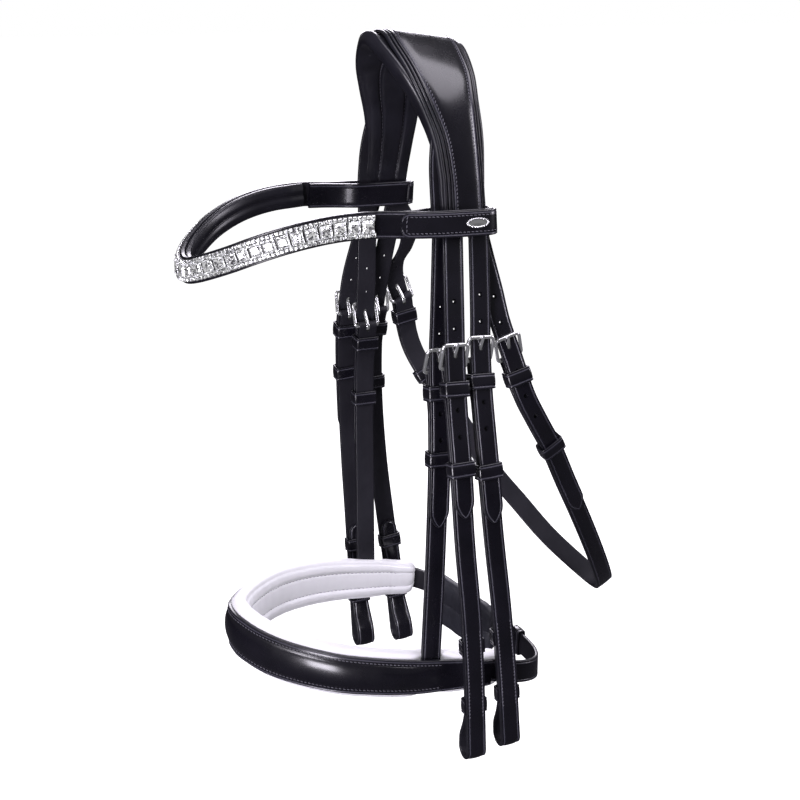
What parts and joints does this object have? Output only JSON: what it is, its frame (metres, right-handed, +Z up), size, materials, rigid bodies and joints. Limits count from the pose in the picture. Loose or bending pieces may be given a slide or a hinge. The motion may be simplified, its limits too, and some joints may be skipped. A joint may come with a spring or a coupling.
{
  "type": "snaffle bridle headstall",
  "caption": "Horse bridle headstall of black leather straps with a padded crown, stone-set browband, paired buckled cheekpieces, padded noseband and throatlash; no bit or reins.",
  "frame": {"origin": "the middle of the crown padding's underside, where it rests on the horse's poll", "axes": "+Z up as worn, +X towards the horse's near (left) side, -Y forward towards the nose"},
  "size_m": [0.2014, 0.3044, 0.4451],
  "materials": {
    "bridle_leather": "smooth glossy black with fine grain",
    "soft_leather": "matt black padded leather",
    "white_padding": "soft white padded leather",
    "grey_padding": "soft dark grey padded leather",
    "buckle_steel": "polished stainless steel",
    "clear_stones": "clear cut stones in bright silver settings"
  },
  "bodies": {
    "headpiece": {"crown_leather": "bridle_leather", "crown_sliphead": "soft_leather", "crown_padding": "soft_leather"},
    "browband": {"browband_leather": "bridle_leather", "browband_lining": "soft_leather", "browband_crystals": "clear_stones", "browband_badge": "buckle_steel"},
    "near_front_cheek": {"near_front_cheek_billet": "bridle_leather", "near_front_cheek_strap": "bridle_leather", "near_front_cheek_buckle": "buckle_steel", "near_front_cheek_keeper": "bridle_leather"},
    "near_rear_cheek": {"near_rear_cheek_billet": "bridle_leather", "near_rear_cheek_strap": "bridle_leather", "near_rear_cheek_buckle": "buckle_steel", "near_rear_cheek_keeper": "bridle_leather"},
    "off_front_cheek": {"off_front_cheek_billet": "bridle_leather", "off_front_cheek_strap": "bridle_leather", "off_front_cheek_buckle": "buckle_steel", "off_front_cheek_keeper": "bridle_leather"},
    "off_rear_cheek": {"off_rear_cheek_billet": "bridle_leather", "off_rear_cheek_strap": "bridle_leather", "off_rear_cheek_buckle": "buckle_steel", "off_rear_cheek_keeper": "bridle_leather"},
    "noseband": {"near_hanger_billet": "bridle_leather", "near_hanger_strap": "bridle_leather", "near_hanger_buckle": "buckle_steel", "near_hanger_keeper": "bridle_leather", "off_hanger_billet": "bridle_leather", "off_hanger_strap": "bridle_leather", "off_hanger_buckle": "buckle_steel", "off_hanger_keeper": "bridle_leather", "noseband_leather": "bridle_leather", "noseband_padding": "white_padding", "chin_billet": "bridle_leather", "chin_strap": "bridle_leather", "chin_buckle": "buckle_steel", "chin_pad": "grey_padding"},
    "throatlash": {"near_throat_billet": "bridle_leather", "near_throat_buckle": "buckle_steel", "off_throat_billet": "bridle_leather", "off_throat_buckle": "buckle_steel", "throatlash_strap": "bridle_leather"},
    "near_front_cheek_tongue": {"near_front_cheek_tongue": "buckle_steel"},
    "near_front_cheek_runner": {"near_front_cheek_runner": "bridle_leather"},
    "near_rear_cheek_tongue": {"near_rear_cheek_tongue": "buckle_steel"},
    "near_rear_cheek_runner": {"near_rear_cheek_runner": "bridle_leather"},
    "near_hanger_tongue": {"near_hanger_tongue": "buckle_steel"},
    "near_hanger_runner": {"near_hanger_runner": "bridle_leather"},
    "near_throat_tongue": {"near_throat_tongue": "buckle_steel"},
    "near_throat_runner": {"near_throat_runner": "bridle_leather"},
    "off_front_cheek_tongue": {"off_front_cheek_tongue": "buckle_steel"},
    "off_front_cheek_runner": {"off_front_cheek_runner": "bridle_leather"},
    "off_rear_cheek_tongue": {"off_rear_cheek_tongue": "buckle_steel"},
    "off_rear_cheek_runner": {"off_rear_cheek_runner": "bridle_leather"},
    "off_hanger_tongue": {"off_hanger_tongue": "buckle_steel"},
    "off_hanger_runner": {"off_hanger_runner": "bridle_leather"},
    "off_throat_tongue": {"off_throat_tongue": "buckle_steel"},
    "off_throat_runner": {"off_throat_runner": "bridle_leather"},
    "chin_tongue": {"chin_tongue": "buckle_steel"},
    "chin_keeper": {"chin_keeper": "bridle_leather"}
  },
  "joints": [
    {"name": "browband_slide", "type": "slide", "parent": "headpiece", "child": "browband", "axis": [0, 0, 1], "range_m": [0, 0.004]},
    {"name": "near_front_cheek_swing", "type": "hinge", "parent": "headpiece", "child": "near_front_cheek", "pos_m": [0.066, 0.0016, -0.1012], "axis": [0, -1, 0], "range_deg": [0, 25]},
    {"name": "near_rear_cheek_swing", "type": "hinge", "parent": "headpiece", "child": "near_rear_cheek", "pos_m": [0.066, 0.0186, -0.1012], "axis": [0, -1, 0], "range_deg": [0, 25]},
    {"name": "off_front_cheek_swing", "type": "hinge", "parent": "headpiece", "child": "off_front_cheek", "pos_m": [-0.066, 0.0008, -0.1012], "axis": [0, 1, 0], "range_deg": [0, 25]},
    {"name": "off_rear_cheek_swing", "type": "hinge", "parent": "headpiece", "child": "off_rear_cheek", "pos_m": [-0.066, 0.018, -0.1012], "axis": [0, 1, 0], "range_deg": [0, 25]},
    {"name": "noseband_swing", "type": "hinge", "parent": "headpiece", "child": "noseband", "pos_m": [0, -0.003, -0.1012], "axis": [1, 0, 0], "range_deg": [-10, 0]},
    {"name": "throatlash_swing", "type": "hinge", "parent": "headpiece", "child": "throatlash", "pos_m": [0, 0.027, -0.102], "axis": [1, 0, 0], "range_deg": [0, 15]},
    {"name": "near_front_cheek_tongue_turn", "type": "hinge", "parent": "near_front_cheek", "child": "near_front_cheek_tongue", "pos_m": [0.08118, -0.00447, -0.1762], "axis": [0.008, 0.9993, -0.0376], "range_deg": [0, 12]},
    {"name": "near_front_cheek_runner_slide", "type": "slide", "parent": "near_front_cheek", "child": "near_front_cheek_runner", "axis": [0.1262, 0.0303, -0.9915], "range_m": [-0.006, 0.006]},
    {"name": "near_rear_cheek_tongue_turn", "type": "hinge", "parent": "near_rear_cheek", "child": "near_rear_cheek_tongue", "pos_m": [0.07675, 0.01428, -0.17426], "axis": [0.0079, 0.9993, -0.0359], "range_deg": [0, 12]},
    {"name": "near_rear_cheek_runner_slide", "type": "slide", "parent": "near_rear_cheek", "child": "near_rear_cheek_runner", "axis": [0.1099, 0.0615, -0.992], "range_m": [-0.006, 0.006]},
    {"name": "near_hanger_tongue_turn", "type": "hinge", "parent": "noseband", "child": "near_hanger_tongue", "pos_m": [0.06695, -0.00876, -0.18152], "axis": [0.0059, 0.9991, -0.0412], "range_deg": [0, 12]},
    {"name": "near_hanger_runner_slide", "type": "slide", "parent": "noseband", "child": "near_hanger_runner", "axis": [0.0468, -0.0233, -0.9986], "range_m": [-0.006, 0.006]},
    {"name": "near_throat_tongue_turn", "type": "hinge", "parent": "throatlash", "child": "near_throat_tongue", "pos_m": [0.07052, 0.03891, -0.17615], "axis": [0.0328, 0.9514, 0.3062], "range_deg": [0, 12]},
    {"name": "near_throat_runner_slide", "type": "slide", "parent": "throatlash", "child": "near_throat_runner", "axis": [-0.2639, 0.5084, -0.8197], "range_m": [-0.004, 0.004]},
    {"name": "off_front_cheek_tongue_turn", "type": "hinge", "parent": "off_front_cheek", "child": "off_front_cheek_tongue", "pos_m": [-0.0811, -0.00967, -0.17581], "axis": [0.0088, -0.9991, 0.0413], "range_deg": [0, 12]},
    {"name": "off_front_cheek_runner_slide", "type": "slide", "parent": "off_front_cheek", "child": "off_front_cheek_runner", "axis": [-0.1672, 0.0792, -0.9827], "range_m": [-0.006, 0.006]},
    {"name": "off_rear_cheek_tongue_turn", "type": "hinge", "parent": "off_rear_cheek", "child": "off_rear_cheek_tongue", "pos_m": [-0.07684, 0.00965, -0.17471], "axis": [0.0119, -0.9984, 0.0546], "range_deg": [0, 12]},
    {"name": "off_rear_cheek_runner_slide", "type": "slide", "parent": "off_rear_cheek", "child": "off_rear_cheek_runner", "axis": [-0.1234, 0.0647, -0.9902], "range_m": [-0.006, 0.006]},
    {"name": "off_hanger_tongue_turn", "type": "hinge", "parent": "noseband", "child": "off_hanger_tongue", "pos_m": [-0.06574, -0.00221, -0.18144], "axis": [-0.0012, -1, -0.0085], "range_deg": [0, 12]},
    {"name": "off_hanger_runner_slide", "type": "slide", "parent": "noseband", "child": "off_hanger_runner", "axis": [-0.0666, 0.0104, -0.9977], "range_m": [-0.006, 0.006]},
    {"name": "off_throat_tongue_turn", "type": "hinge", "parent": "throatlash", "child": "off_throat_tongue", "pos_m": [-0.08385, 0.03141, -0.16936], "axis": [0.0025, -0.975, -0.2221], "range_deg": [0, 12]},
    {"name": "off_throat_runner_slide", "type": "slide", "parent": "throatlash", "child": "off_throat_runner", "axis": [0.3074, 0.4477, -0.8397], "range_m": [-0.004, 0.004]},
    {"name": "chin_tongue_turn", "type": "hinge", "parent": "noseband", "child": "chin_tongue", "pos_m": [-0.02125, 0.05439, -0.38038], "axis": [0.1325, 0.036, 0.9905], "range_deg": [0, 12]},
    {"name": "chin_keeper_slide", "type": "slide", "parent": "noseband", "child": "chin_keeper", "axis": [-0.9918, -0.0979, 0.0821], "range_m": [-0.004, 0.004]}
  ]
}
